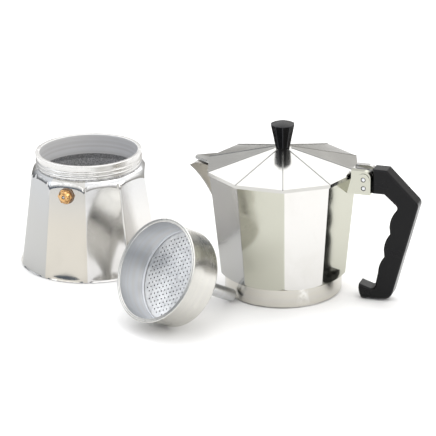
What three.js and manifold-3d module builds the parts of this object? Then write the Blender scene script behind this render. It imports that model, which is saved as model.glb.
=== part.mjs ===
// A ten-sided aluminium moka pot, taken apart: the boiler stands upright at the origin, the pot stands
// beside it on its threaded collar with the lid shut, and the funnel lies tilted in front of them.
// Millimetres, +Z up. The origin is the centre of the boiler's flat base. Angles are in degrees.
import * as THREE from "three";
import { mergeVertices } from "three/addons/utils/BufferGeometryUtils.js";
import { ConvexGeometry } from "three/addons/geometries/ConvexGeometry.js";
import Module from "manifold-3d";

const wasm = await Module();
wasm.setup();

// ---------------------------------------------------------------- driving sizes
const sides = 10; // facets round the boiler, the pot, the lid and the knob
const gap = 0.3; // between pieces that seat on or in each other
const roundSteps = 48; // segments of a turned surface
const smallSteps = 20; // segments of a pin, a bore or a screw
const overcut = 1; // how far a cutting shape runs past the surface that it opens

// Neck of the boiler, which the pot's collar, the gasket and the funnel all fit.
const neckCrest = 40; // radius over the thread and the rim
const threadDepth = 1.1;
const neckBore = 36.8;
const neckHeight = 10.4;
const rimBand = 1.5;
const threadPitch = 2.8;
const threadTurns = 2;

// Boiler: round at the foot and ten-sided at the shoulder. A corner radius is measured to an edge.
const boilerBaseRadius = 54.6;
const shoulderOverhang = 4.3; // from the thread's crest out to a corner at the shoulder
const facetHeight = 70.3; // height of the shoulder's corners
const flatGrowth = 0.25; // below 1, the flats grow fastest near the foot
const flatStart = 0.02; // share of the height over which the flats stay as narrow as at the foot
const shoulderTop = 75.3;
const shoulderRound = 8;
const boilerWall = 3;
const boilerFloor = 3.5;
const boilerInnerRound = 3;
const edgeChamfer = 0.8;

// Safety valve, on the facet to the left of the front edge. Its pieces are stacked along its own axis.
const valveHeight = 63.7;
const valveHexCorner = 5.6;
const valveHexThick = 2.2;
const valveShank = 4;
const valveShankLength = 6.5;
const valveCavity = 2.6;
const valveDome = 4.6;
const valveDomeHeight = 2.6;
const valveNose = 1.8; // wall in front of the cavity
const washerRadius = 6;
const washerThick = 0.6;
const stemRadius = 0.95;
const stemDiscThick = 1;
const stemRecess = 0.5; // below the nose
const seatRingThick = 1;
const seatRingWall = 0.8;
const springWire = 0.28;
const springTurns = 4;

// Funnel: a cup with a flanged rim, a stem and a sieve. Heights are from the cup's bottom edge.
const cupDepth = 27.3;
const cupClearance = 1.4; // between the cup and the boiler's bore
const cupTaper = 0.55;
const cupFlangeReach = 0.5; // how far the flange laps over the boiler's rim
const cupFlangeThick = 1.2;
const cupWall = 1;
const cupEdgeRound = 2;
const cupConeDrop = 7;
const sleeveLength = 5;
const stemTube = 4.64; // outer radius of the stem
const stemTubeWall = 1;
const stemLength = 52.8; // below the cup's bottom edge
const sieveSeat = 2.4;
const sieveSeatWidth = 2;
const sieveThick = 0.8;
const sieveRings = 3;
const sieveHole = 1;
const sievePitch = 8.4;
const funnelTurn = -137.7; // the way the cup's mouth faces
const funnelSide = -142.7; // where the stem's end lies, seen from the pot's axis
const funnelStandOff = 3.7; // from the collar to the middle of the stem's end

// Pot, in its own frame: the handle is towards +X and the spout towards -X.
const potPlace = new THREE.Vector2(145.5, -59.8);
const collarWall = 2.4;
const collarHeight = 13.9;
const socketSpare = 2.8; // depth of the socket beyond the neck's height
const potFootRise = 6; // height of the round from the collar to the facets
const potFootOverhang = 4.7; // from the collar out to a corner above that round
const potFlareOut = 7.3; // from there out to a corner at the rim
const potRimHeight = 91.5;
const potWall = 3;
const potFloorWall = 3.6;
const potFloorRise = 6.5;
const potFloorMargin = 8; // flat ring round the coned floor
const gasketThick = 2.7;
const gasketInset = 3.3; // inside the thread's crest
const gasketWidth = 6.7;
const plateThick = 0.8;
const plateInset = 1.3; // inside the gasket's edge
const plateRings = 3;
const plateHole = 0.9;
const plateHolePitch = 8;

// Column that the coffee rises through.
const columnSpigot = 6;
const columnFlangeWidth = 2.5;
const columnFlangeThick = 1.5;
const columnFootRadius = 6.2;
const columnTopRadius = 5;
const columnLength = 50; // above the chamber's floor
const columnDome = 4;
const columnBore = 3.4;
const windowHeight = 9;
const windowWidth = 4.4;

// Spout, measured from the pot's axis.
const spoutStart = 56;
const spoutReach = 16.8; // beyond a corner at the rim
const spoutTipDrop = 5; // below the rim
const spoutHalfWidth = 10; // at the lid's edge
const spoutInset = 3.5; // from the outer ridge to the channel's

// Hinge bracket: two cheeks that hold the lid's hinge pin above the handle's pin.
const cheekOuter = 9;
const cheekThick = 4.5;
const cheekDrop = 11; // below the rim
const cheekRise = 6.5; // above the rim
const cheekNose = 5.1; // beyond the pins
const cheekRound = 5;
const cheekClearance = 2.4; // between the cut-back lid and the cheeks
const wingShare = 0.66; // how far along the next facet the cheek's root spreads at the rim
const pinOverhang = 7.8; // from a corner at the rim out to both pins
const hingePinRise = 0.3;
const handlePinDrop = 6.3;
const pinRadius = 1.5;
const bossRadius = 4.4;
const bossProud = 0.6;

// Lid.
const lidOverhang = 1.5;
const lidGap = 0.35;
const lidBand = 2.6;
const lidBandWidth = 2.4;
const lidRise = 14.4; // from the band's top edge to where the facets would meet
const lidSkin = 1.8;
const lidNotch = 5.2; // the lid is cut back by this beside its hinge tongue
const hingeEye = 3.2;
const knobSeat = 6.6;
const beakReach = 10; // beyond the lid's corner, over the spout
const beakHalfWidth = 10.5;
const beakTipHalf = 1.8;
const beakRise = 0.5; // from the lid's lower edge to the beak's

// Handle.
const handleWidth = 12;
const handleBevel = 1;
const handleFoot = 0.4;
const gripRise = 0.9; // above the cheeks
const gripShoulder = 10.2; // length of the level top
const gripReach = 33.5; // from the cheeks out to the knee
const gripKneeDrop = 21.5; // below the top
const gripHeel = 15.8;
const gripToe = 10.7; // how far the hook at the foot comes back under the cheeks
const fingerPitch = 17.7;
const fingerStep = 3.95; // each notch is this much nearer the pot than the one above
const fingerNotch = 4.5;

// Knob and its fixing.
const knobFoot = 5.3;
const knobTop = 8.9;
const knobHeight = 17.1;
const knobPeak = 2.9;
const insertWall = 0.6;
const insertLength = 8;
const screwRadius = 1.9;
const screwHead = 3.6;
const screwHeadThick = 2;
const screwLength = 11; // of shank above the head
const screwWasherRadius = 4.6;
const screwWasherThick = 0.6;

// ---------------------------------------------------------------- sizes that follow
const radians = THREE.MathUtils.degToRad;
const degrees = THREE.MathUtils.radToDeg;
const halfStep = 180 / sides;
const facetRatio = Math.cos(radians(halfStep)); // a flat's radius over a corner's

const boilerTopCorner = neckCrest + shoulderOverhang;
const boilerHeight = shoulderTop + neckHeight;
const boilerLean = (boilerBaseRadius - boilerTopCorner) / facetHeight;
const boilerCorner = (z) => boilerBaseRadius - boilerLean * z;
// How flat the facets are: 0 is round and 1 is a full decagon.
const flatness = (z) => THREE.MathUtils.clamp(z / facetHeight, flatStart, 1) ** flatGrowth;
const boilerFlat = (z) => boilerCorner(z) * (1 - flatness(z) * (1 - facetRatio));

const cupTopRadius = neckBore - cupClearance;
const cupBottomRadius = cupTopRadius - cupTaper;
const cupFlangeRadius = neckBore + cupFlangeReach;

const collarBore = neckCrest + gap;
const collarRadius = collarBore + collarWall;
const potFootHeight = collarHeight + potFootRise - 0.4;
const potFootCorner = collarRadius + potFootOverhang;
const potRimCorner = potFootCorner + potFlareOut;
const potFlare = potFlareOut / (potRimHeight - potFootHeight);
const potCorner = (z) => potFootCorner + potFlare * (z - potFootHeight);

const socketLedge = neckHeight + socketSpare;
const socketRecess = neckCrest - gasketInset + gap;
const gasketRadius = socketRecess - gap;
const gasketBore = gasketRadius - gasketWidth;
const gasketLow = socketLedge + gap;
const plateRadius = gasketRadius - plateInset;
const plateLow = gasketLow + gasketThick + gap;
const socketCeiling = plateLow + plateThick + gap;
const potFloorEdge = socketCeiling + potFloorWall;
const potFloorCentre = potFloorEdge + potFloorRise;
const collectorTop = potFloorCentre - potFloorWall;

const lidCorner = potRimCorner + lidOverhang;
const lidBottom = potRimHeight + lidGap;
const lidEdgeTop = lidBottom + lidBand;
const lidSurface = (radius) => lidEdgeTop + lidRise * (1 - radius / lidCorner);
const lidSeatHeight = lidSurface(knobSeat);
const lidCut = lidCorner - lidNotch;

const pinReach = potRimCorner + pinOverhang;
const hingePinHeight = potRimHeight + hingePinRise;
const handlePinHeight = potRimHeight - handlePinDrop;
const pinHole = pinRadius + gap;
const cheekInner = cheekOuter - cheekThick;
const cheekFace = lidCut + cheekClearance;
const cheekEnd = pinReach + cheekNose;
const cheekTop = potRimHeight + cheekRise;
const cheekBottom = potRimHeight - cheekDrop;
const tongueHalf = cheekInner - gap;

// ---------------------------------------------------------------- finishes
function finish(colour, roughness, metalness) {
  return new THREE.MeshStandardMaterial({ color: colour, roughness, metalness });
}
const polished = () => finish(0xd3d2cc, 0.25, 1);
const satin = () => finish(0xb9babb, 0.45, 1);
const brass = () => finish(0xc9973f, 0.25, 1);
const steel = () => finish(0xa9acb0, 0.3, 1);
const rubber = () => finish(0xd9d4c8, 0.8, 0);
const fibre = () => finish(0x7d6a55, 0.85, 0);
const blackPlastic = () => finish(0x161617, 0.35, 0);

// ---------------------------------------------------------------- solids
function toSolid(geometry) {
  const bare = geometry.index ? geometry.toNonIndexed() : geometry.clone();
  bare.deleteAttribute("normal");
  bare.deleteAttribute("uv");
  const merged = mergeVertices(bare, 1e-4);
  return new wasm.Manifold(
    new wasm.Mesh({
      numProp: 3,
      vertProperties: merged.attributes.position.array,
      triVerts: new Uint32Array(merged.index.array),
    }),
  );
}

function toGeometry(solid) {
  const mesh = solid.getMesh();
  const geometry = new THREE.BufferGeometry();
  geometry.setAttribute("position", new THREE.BufferAttribute(mesh.vertProperties, 3));
  geometry.setIndex(new THREE.BufferAttribute(mesh.triVerts, 1));
  return geometry;
}

function join(first, ...others) {
  return others.reduce((sum, next) => sum.add(next), first);
}

function cut(first, ...others) {
  return others.reduce((rest, next) => rest.subtract(next), first);
}

// A turned shape about Z from [radius, height] points that run anticlockwise, outer side upwards.
function lathe(points, steps) {
  const geometry = new THREE.LatheGeometry(points.map(([r, z]) => new THREE.Vector2(r, z)), steps);
  return geometry.rotateX(Math.PI / 2);
}

function turned(points, steps = roundSteps) {
  return toSolid(lathe(points, steps));
}

// The same with ten flats. Without a turn one edge faces -Y; turned by half a step, one faces +X.
function faceted(points, turn = 0) {
  return toSolid(lathe(points, sides).rotateZ(radians(turn)));
}

function rod(radius, low, high, steps = smallSteps) {
  return turned([[0, low], [radius, low], [radius, high], [0, high]], steps);
}

function ring(inner, outer, low, high, steps = roundSteps) {
  return turned([[inner, low], [outer, low], [outer, high], [inner, high], [inner, low]], steps);
}

function box(x0, x1, y0, y1, z0, z1) {
  const geometry = new THREE.BoxGeometry(x1 - x0, y1 - y0, z1 - z0);
  return toSolid(geometry.translate((x0 + x1) / 2, (y0 + y1) / 2, (z0 + z1) / 2));
}

// A side profile in x and z, made a plate from y0 to y1. A bevel is taken off inside those limits.
function plate(shape, y0, y1, bevel = 0) {
  const geometry = new THREE.ExtrudeGeometry(shape, {
    depth: y1 - y0 - 2 * bevel,
    bevelEnabled: bevel > 0,
    bevelThickness: bevel,
    bevelSize: bevel,
    bevelOffset: -bevel,
    bevelSegments: 1,
    curveSegments: 6,
  });
  return toSolid(geometry.rotateX(Math.PI / 2).translate(0, y1 - bevel, 0));
}

function outline(points) {
  return new THREE.Shape(points.map(([x, z]) => new THREE.Vector2(x, z)));
}

// A pin or a bore across the hinge bracket, along Y.
function crossRod(radius, x, z, halfLength) {
  const geometry = new THREE.CylinderGeometry(radius, radius, 2 * halfLength, smallSteps);
  return toSolid(geometry.translate(x, 0, z));
}

class Helix extends THREE.Curve {
  constructor(radius, rise, turns, start) {
    super();
    Object.assign(this, { radius, rise, turns, start });
  }
  getPoint(t, target = new THREE.Vector3()) {
    const angle = 2 * Math.PI * this.turns * t;
    const height = this.start + this.rise * t;
    return target.set(this.radius * Math.cos(angle), this.radius * Math.sin(angle), height);
  }
}

function coil(radius, wire, rise, turns, start, stepsPerTurn) {
  const section = new THREE.Shape();
  section.absarc(0, 0, wire, 0, 2 * Math.PI);
  const geometry = new THREE.ExtrudeGeometry(section, {
    extrudePath: new Helix(radius, rise, turns, start),
    steps: Math.round(turns * stepsPerTurn),
    curveSegments: 3,
    bevelEnabled: false,
  });
  return toSolid(geometry);
}

function thread(radius, depth, start) {
  return coil(radius, depth, threadPitch * threadTurns, threadTurns, start, 36);
}

// A round plate with rings of holes round a centre hole, each ring six holes more than the last.
function perforated(radius, low, thick, rings, hole, pitch) {
  const centre = rod(hole, low - overcut, low + thick + overcut, 6);
  const holes = [centre];
  for (let n = 1; n <= rings; n += 1) {
    for (let k = 0; k < 6 * n; k += 1) {
      const angle = (k / (6 * n)) * 2 * Math.PI;
      const copy = toGeometry(centre);
      copy.translate(n * pitch * Math.cos(angle), n * pitch * Math.sin(angle), 0);
      holes.push(toSolid(copy));
    }
  }
  return cut(rod(radius, low, low + thick, roundSteps), ...holes);
}

function piece(name, solid, material, parent) {
  const mesh = new THREE.Mesh(toGeometry(solid), material);
  mesh.name = name;
  parent.add(mesh);
}

// Points a group's +Z axis along a direction given by its compass turn and its rise.
function aim(group, turn, rise) {
  group.rotation.order = "ZYX";
  group.rotation.set(0, Math.PI / 2 - radians(rise), radians(turn));
}

const object = new THREE.Group();

// ---------------------------------------------------------------- safety valve
// Its frame has the origin on the boiler's facet and +Z outwards, square to the facet.
const valve = new THREE.Group();
const valveTurn = -90 - halfStep;
const valveLean = Math.atan(boilerFlat(valveHeight - 0.5) - boilerFlat(valveHeight + 0.5));
aim(valve, valveTurn, degrees(valveLean));
valve.position.set(
  boilerFlat(valveHeight) * Math.cos(radians(valveTurn)),
  boilerFlat(valveHeight) * Math.sin(radians(valveTurn)),
  valveHeight,
);
valve.updateMatrix();
object.add(valve);

const washerTop = gap + washerThick;
const hexBottom = washerTop + gap;
const hexTop = hexBottom + valveHexThick;
const domeTop = hexTop + valveDomeHeight;
const cavityTop = domeTop - valveNose;
const shankEnd = hexBottom - valveShankLength;
const seatTop = shankEnd + seatRingThick;
const discBottom = seatTop + gap;
const discTop = discBottom + stemDiscThick;
const seatRingRadius = valveCavity - gap;

function valveBody() {
  const low = hexBottom;
  const hex = turned([[0, low], [valveHexCorner, low], [valveHexCorner, hexTop], [0, hexTop]], 6);
  const dome = turned([
    [0, low],
    [valveDome, low],
    [valveDome, hexTop],
    [valveDome * 0.88, hexTop + valveDomeHeight * 0.6],
    [valveDome * 0.65, domeTop],
    [0, domeTop],
  ], smallSteps);
  const shank = rod(valveShank, shankEnd, hexTop);
  const cavity = rod(valveCavity, shankEnd - overcut, cavityTop);
  const nose = rod(stemRadius + gap, cavityTop - overcut, domeTop + overcut);
  return cut(join(hex, dome, shank), cavity, nose);
}

function valveStem() {
  const disc = rod(seatRingRadius - gap / 2, discBottom, discTop);
  return join(disc, rod(stemRadius, discBottom, domeTop - stemRecess));
}

function valveSpring() {
  const low = discTop + gap + springWire;
  const high = cavityTop - gap - springWire;
  return coil((stemRadius + valveCavity) / 2, springWire, high - low, springTurns, low, 10);
}

const washer = ring(valveShank + gap, washerRadius, gap, washerTop, smallSteps);
const seatRing = ring(seatRingRadius - seatRingWall, seatRingRadius, shankEnd, seatTop, smallSteps);
piece("valve_body", valveBody(), brass(), valve);
piece("valve_washer", washer, fibre(), valve);
piece("valve_seat_ring", seatRing, brass(), valve);
piece("valve_stem", valveStem(), steel(), valve);
piece("valve_spring", valveSpring(), steel(), valve);

// ---------------------------------------------------------------- boiler
// A turned body whose section is round at the foot and grows ten flats towards the shoulder.
function boilerBlock() {
  const high = shoulderTop + overcut;
  const points = [[0, 0], [boilerBaseRadius - edgeChamfer, 0]];
  for (const share of [0, 0.03, 0.1, 0.22, 0.4, 0.62, 0.82, 1]) {
    const z = edgeChamfer + share * (facetHeight - edgeChamfer);
    points.push([boilerCorner(z), z]);
  }
  points.push([boilerCorner(high), high]);
  const geometry = lathe([...points, [0, high]], 4 * sides);
  const place = geometry.attributes.position;
  for (let i = 0; i < place.count; i += 1) {
    const turn = degrees(Math.atan2(place.getY(i), place.getX(i))) + 90 + 360;
    const fromMiddle = (turn % (2 * halfStep)) - halfStep;
    const flat = facetRatio / Math.cos(radians(fromMiddle));
    const scale = 1 - flatness(place.getZ(i)) * (1 - flat);
    place.setXY(i, place.getX(i) * scale, place.getY(i) * scale);
  }
  return toSolid(geometry);
}

// The round shoulder is turned off that body, so each facet ends in an arch.
function shoulder() {
  const steepest = 58;
  const flattest = 16;
  const arc = [];
  for (let angle = steepest; angle >= flattest; angle -= 7) {
    const out = Math.sin(radians(angle)) - Math.sin(radians(flattest));
    const up = Math.cos(radians(angle)) - 1;
    arc.push([neckCrest - threadDepth + shoulderRound * out, shoulderTop + shoulderRound * up]);
  }
  const [edgeRadius, edgeHeight] = arc[0];
  const foot = edgeRadius + edgeHeight / Math.tan(radians(steepest));
  return turned([[0, 0], [foot, 0], ...arc, [0, arc.at(-1)[1]]]);
}

function neck() {
  const root = neckCrest - threadDepth;
  const band = boilerHeight - rimBand;
  const tube = turned([
    [0, facetHeight],
    [root, facetHeight],
    [root, band],
    [neckCrest, band],
    [neckCrest, boilerHeight],
    [0, boilerHeight],
  ]);
  return join(tube, thread(root, threadDepth, shoulderTop + 2 * threadDepth));
}

function boilerInside() {
  const wallRadius = (z) => boilerFlat(z) - boilerWall;
  const waist = facetHeight - boilerWall - 1;
  const foot = wallRadius(boilerFloor);
  const round = boilerInnerRound;
  return turned([
    [0, boilerFloor],
    [foot - round, boilerFloor],
    [foot - 0.3 * round, boilerFloor + 0.3 * round],
    [wallRadius(boilerFloor + round), boilerFloor + round],
    [wallRadius(waist), waist],
    [neckBore, shoulderTop - 1.6 * boilerWall],
    [neckBore, boilerHeight + overcut],
    [0, boilerHeight + overcut],
  ]);
}

function boiler() {
  const hole = toGeometry(rod(valveShank + gap, -2 * valveShankLength, valveShankLength));
  hole.applyMatrix4(valve.matrix);
  const body = join(boilerBlock().intersect(shoulder()), neck());
  return cut(body, boilerInside(), toSolid(hole));
}

piece("boiler", boiler(), polished(), object);

// ---------------------------------------------------------------- funnel
// Its frame has the origin at the centre of the cup's bottom edge and +Z out of the cup's mouth.
// It rests on the round of that edge and on the stem's end, which sets its rise.
const funnel = new THREE.Group();
const cupRoundCentre = cupBottomRadius - cupEdgeRound;
const restRun = [cupRoundCentre - stemTube, cupEdgeRound + stemLength];
const funnelRise = Math.atan2(...restRun) + Math.asin(cupEdgeRound / Math.hypot(...restRun));
const tipReach = collarRadius + funnelStandOff;
const tipBack = stemLength * Math.cos(funnelRise);
aim(funnel, funnelTurn, degrees(funnelRise));
funnel.position.set(
  potPlace.x + tipReach * Math.cos(radians(funnelSide)) + tipBack * Math.cos(radians(funnelTurn)),
  potPlace.y + tipReach * Math.sin(radians(funnelSide)) + tipBack * Math.sin(radians(funnelTurn)),
  stemLength * Math.sin(funnelRise) + stemTube * Math.cos(funnelRise),
);
object.add(funnel);

function funnelCup() {
  const sleeve = stemTube + gap + cupWall;
  const sleeveEnd = -cupConeDrop - sleeveLength;
  const coneSlope = Math.atan2(cupConeDrop, cupBottomRadius - sleeve);
  const points = [[sleeve, sleeveEnd], [sleeve, -cupConeDrop]];
  const arcSteps = 4;
  for (let step = 0; step <= arcSteps; step += 1) {
    const angle = coneSlope + (step / arcSteps) * (Math.PI / 2 - coneSlope);
    points.push([
      cupRoundCentre + cupEdgeRound * Math.sin(angle),
      cupEdgeRound - cupEdgeRound * Math.cos(angle),
    ]);
  }
  const inner = cupBottomRadius - cupWall;
  points.push(
    [cupTopRadius, cupDepth - cupFlangeThick],
    [cupFlangeRadius, cupDepth - cupFlangeThick],
    [cupFlangeRadius, cupDepth],
    [cupTopRadius - cupWall, cupDepth],
    [inner, sieveSeat],
    [inner - sieveSeatWidth, sieveSeat],
    [inner - sieveSeatWidth, cupWall],
    [stemTube + gap, 1.3 * cupWall - cupConeDrop],
    [stemTube + gap, sleeveEnd],
    points[0],
  );
  return turned(points);
}

const stemPipe = ring(stemTube - stemTubeWall, stemTube, -stemLength, -cupConeDrop, smallSteps);
const sieveLow = sieveSeat + gap;
const sieveRadius = cupBottomRadius - cupWall - gap;
const sieve = perforated(sieveRadius, sieveLow, sieveThick, sieveRings, sieveHole, sievePitch);
piece("funnel_cup", funnelCup(), satin(), funnel);
piece("funnel_stem", stemPipe, satin(), funnel);
piece("funnel_sieve", sieve, satin(), funnel);

// ---------------------------------------------------------------- pot
const pot = new THREE.Group();
pot.position.set(potPlace.x, potPlace.y, 0);
pot.rotation.z = radians(-halfStep);
object.add(pot);

// The outer body: ten flaring facets over a round foot and the threaded collar.
function potShell() {
  const high = potRimHeight;
  const block = faceted([[0, 0], [potCorner(0), 0], [potCorner(high), high], [0, high]], halfStep);
  const footRun = potFootCorner + 0.7 - collarRadius;
  const points = [[0, 0], [collarRadius - edgeChamfer, 0], [collarRadius, edgeChamfer]];
  for (let angle = 0; angle <= 90; angle += 18) {
    points.push([
      collarRadius + footRun * Math.sin(radians(angle)),
      collarHeight + potFootRise * (1 - Math.cos(radians(angle))),
    ]);
  }
  points.push([2 * potRimCorner, high + overcut], [0, high + overcut]);
  return block.intersect(turned(points));
}

// A V-shaped trough: a four-sided turned shape on edge. Its ridge leans out more and more to the tip.
function spoutTrough(inset) {
  const axis = potFootCorner - 4;
  const tipReach = potRimCorner + spoutReach;
  const tipHeight = potRimHeight - spoutTipDrop;
  const ridge = new THREE.QuadraticBezierCurve(
    new THREE.Vector2(potCorner(spoutStart) - 0.5, spoutStart),
    new THREE.Vector2(tipReach - 12, tipHeight - 9),
    new THREE.Vector2(tipReach, tipHeight),
  );
  const top = potRimHeight + 2 * overcut;
  const topReach = tipReach + (top - tipHeight);
  const flank = ridge.getPoints(6).map((p) => [p.x - axis - inset, p.y]);
  const points = [[0, spoutStart], ...flank, [topReach - axis - inset, top], [0, top]];
  const geometry = lathe(points, 4);
  geometry.scale(1, spoutHalfWidth / (topReach - lidCorner), 1);
  return toSolid(geometry.translate(-axis, 0, 0));
}

// The trough's side view: level lips that drop in a curve to the tip.
function spoutSide() {
  const lip = potRimHeight;
  const tip = -potRimCorner - spoutReach;
  const shape = outline([[0, 0], [0, lip], [-potRimCorner, lip]]);
  shape.quadraticCurveTo(tip + 5.5, lip - 0.4, tip, potRimHeight - spoutTipDrop);
  shape.lineTo(tip, 0);
  return shape;
}

function spout() {
  const trough = spoutTrough(0).intersect(plate(spoutSide(), -potWall * 10, potWall * 10));
  const lidRadius = lidCorner + 2 * gap;
  const high = 2 * potRimHeight;
  const profile = [[0, potRimHeight], [lidRadius, potRimHeight], [lidRadius, high], [0, high]];
  return cut(trough, faceted(profile, halfStep));
}

function cheekShape() {
  const shape = outline([[potFootCorner, cheekBottom], [cheekEnd, cheekBottom]]);
  shape.lineTo(cheekEnd, cheekTop - cheekRound);
  shape.absarc(cheekEnd - cheekRound, cheekTop - cheekRound, cheekRound, 0, Math.PI / 2, false);
  shape.lineTo(cheekFace, cheekTop);
  shape.lineTo(cheekFace, potRimHeight);
  shape.lineTo(potFootCorner, potRimHeight);
  return shape;
}

// The wedge that fairs a cheek into the facet beside it, widest under the lid.
function cheekWing(side) {
  const turn = radians(2 * halfStep);
  const rim = potCorner(potRimHeight);
  const alongFacet = (radius, z) => new THREE.Vector3(
    radius * (1 - wingShare + wingShare * Math.cos(turn)),
    side * radius * wingShare * Math.sin(turn),
    z,
  );
  const root = side * (cheekOuter - 0.2);
  return toSolid(new ConvexGeometry([
    alongFacet(rim, potRimHeight),
    alongFacet(rim - potWall, potRimHeight),
    new THREE.Vector3(cheekFace, root, potRimHeight),
    new THREE.Vector3(potFootCorner, root, potRimHeight),
    new THREE.Vector3(potCorner(cheekBottom) - potWall, root, cheekBottom),
    new THREE.Vector3(potFootCorner, root, cheekBottom),
  ]));
}

function bracket() {
  const boss = crossRod(bossRadius, pinReach, hingePinHeight, cheekOuter + bossProud);
  const between = box(0, 2 * pinReach, -cheekInner, cheekInner, 0, 2 * potRimHeight);
  const cheeks = [-1, 1].flatMap((side) => {
    const [low, high] = side < 0 ? [-cheekOuter, -cheekInner] : [cheekInner, cheekOuter];
    return [plate(cheekShape(), low, high), cheekWing(side)];
  });
  return join(cut(boss, between), ...cheeks);
}

// The chamber: a ten-sided room over a floor that rises to the column.
function chamber() {
  const inset = potWall / facetRatio;
  const low = potFloorEdge - overcut;
  const high = 2 * potRimHeight;
  const floorRadius = potCorner(low) - inset;
  const rimRadius = potCorner(potRimHeight) - inset;
  const room = faceted([
    [0, low],
    [floorRadius, low],
    [rimRadius, potRimHeight],
    [rimRadius, high],
    [0, high],
  ], halfStep);
  const floor = turned([
    [0, low - overcut],
    [potFootCorner, low - overcut],
    [potFootCorner, potFloorEdge],
    [potFootCorner - potFloorMargin, potFloorEdge],
    [columnSpigot + columnFlangeWidth + overcut, potFloorCentre],
    [0, potFloorCentre],
  ]);
  return cut(room, floor);
}

// The threaded socket, the seats of the gasket and the filter plate, and the collecting funnel above.
function socket() {
  const hole = columnSpigot + gap;
  return turned([
    [0, -overcut],
    [collarBore, -overcut],
    [collarBore, socketLedge],
    [socketRecess, socketLedge],
    [socketRecess, socketCeiling],
    [gasketBore, socketCeiling],
    [hole + columnFlangeWidth, collectorTop],
    [hole, collectorTop],
    [hole, potFloorCentre + overcut],
    [0, potFloorCentre + overcut],
  ]);
}

function potBody() {
  const high = 2 * potRimHeight;
  const wallStart = -potFootCorner + 2 * potWall;
  const beyondWall = box(-2 * potRimCorner, wallStart, -high, high, spoutStart, high);
  const channel = spoutTrough(spoutInset).intersect(beyondWall);
  const shell = cut(join(potShell(), spout(), bracket()), chamber(), channel, socket());
  const pins = [hingePinHeight, handlePinHeight].map((z) => crossRod(pinHole, pinReach, z, 2 * cheekOuter));
  return cut(join(shell, thread(collarBore + gap / 2, threadDepth - gap, socketLedge / 3)), ...pins);
}

function column() {
  const foot = collectorTop + gap;
  const flangeLow = potFloorCentre + gap;
  const flangeHigh = flangeLow + columnFlangeThick;
  const flange = columnSpigot + columnFlangeWidth;
  const top = potFloorCentre + columnLength;
  const domeLow = top - columnDome;
  const outer = turned([
    [0, foot],
    [columnSpigot, foot],
    [columnSpigot, flangeLow],
    [flange, flangeLow],
    [flange, flangeHigh],
    [columnFootRadius, flangeHigh + columnFlangeThick],
    [columnTopRadius, domeLow],
    [columnTopRadius * 0.75, top - columnDome / 3],
    [0, top],
  ], 2 * smallSteps);
  const bore = rod(columnBore, foot - overcut, domeLow - columnDome / 2);
  const windowTop = domeLow - columnDome;
  const half = windowWidth / 2;
  const across = 2 * columnFootRadius;
  return cut(outer, bore, box(-across, across, -half, half, windowTop - windowHeight, windowTop));
}

const gasket = ring(gasketBore, gasketRadius, gasketLow, gasketLow + gasketThick);
const filter = perforated(plateRadius, plateLow, plateThick, plateRings, plateHole, plateHolePitch);
const hingePin = crossRod(pinRadius, pinReach, hingePinHeight, cheekOuter + bossProud);
const handlePin = crossRod(pinRadius, pinReach, handlePinHeight, cheekOuter);
piece("pot_body", potBody(), polished(), pot);
piece("column", column(), satin(), pot);
piece("gasket", gasket, rubber(), pot);
piece("filter_plate", filter, satin(), pot);
piece("hinge_pin", hingePin, steel(), pot);
piece("handle_pin", handlePin, steel(), pot);

// ---------------------------------------------------------------- handle
const gripRoot = cheekEnd + 2 * gap;
const gripUnder = cheekBottom + gap;

// Side view: level top, a long straight slope to the knee, a hooked foot, and three notches for fingers.
function gripShape() {
  const low = handleFoot;
  const top = cheekTop + gripRise;
  const knee = gripRoot + gripReach;
  const kneeHeight = top - gripKneeDrop;
  const heel = gripRoot + gripHeel;
  const toe = gripRoot - gripToe;
  const shape = outline([[gripRoot, top], [gripRoot + gripShoulder, top], [knee - 1.5, kneeHeight]]);
  shape.quadraticCurveTo(knee + 0.2, kneeHeight - 2, knee - 0.5, kneeHeight - 4.6);
  shape.lineTo(heel, low + 7);
  shape.quadraticCurveTo(heel - 1.6, low + 1, heel - 7, low + 0.8);
  shape.lineTo(toe + 3, low);
  shape.quadraticCurveTo(toe, low + 6, toe + 1.4, low + 10.8);
  shape.lineTo(toe + 10, low + 8);
  shape.quadraticCurveTo(toe + 13.9, low + 8, toe + 13.9, low + 13);
  const topNotch = [gripRoot + 17.1, gripUnder - 11.7];
  for (let n = 2; n >= 0; n -= 1) {
    const x = topNotch[0] - n * fingerStep;
    const z = topNotch[1] - n * fingerPitch;
    shape.lineTo(x - fingerNotch, z - 0.7 * fingerPitch);
    shape.quadraticCurveTo(x - fingerNotch + 0.3, z - 0.3 * fingerPitch, x, z);
  }
  shape.quadraticCurveTo(topNotch[0] + 1.9, topNotch[1] + 2, topNotch[0], topNotch[1] + 4.3);
  shape.lineTo(gripRoot + 8.6, gripUnder);
  shape.lineTo(gripRoot, gripUnder);
  return shape;
}

function handle() {
  const tongueEnd = pinReach - cheekNose;
  const tongueTop = hingePinHeight - hingeEye - 2 * gap;
  const tongue = outline([
    [tongueEnd, gripUnder],
    [gripRoot + 4, gripUnder],
    [gripRoot + 4, tongueTop],
    [tongueEnd, tongueTop],
  ]);
  const grip = plate(gripShape(), -handleWidth / 2, handleWidth / 2, handleBevel);
  const root = plate(tongue, -tongueHalf, tongueHalf);
  return cut(join(grip, root), crossRod(pinHole, pinReach, handlePinHeight, handleWidth));
}

piece("handle", handle(), blackPlastic(), pot);

// ---------------------------------------------------------------- lid
function lidShell() {
  const innerEdge = lidCorner - lidBandWidth;
  return faceted([
    [0, lidSeatHeight - lidSkin],
    [knobSeat, lidSeatHeight - lidSkin],
    [innerEdge, lidSurface(innerEdge) - lidSkin],
    [innerEdge, lidBottom],
    [lidCorner, lidBottom],
    [lidCorner, lidEdgeTop],
    [knobSeat, lidSeatHeight],
    [0, lidSeatHeight],
  ], halfStep);
}

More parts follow.
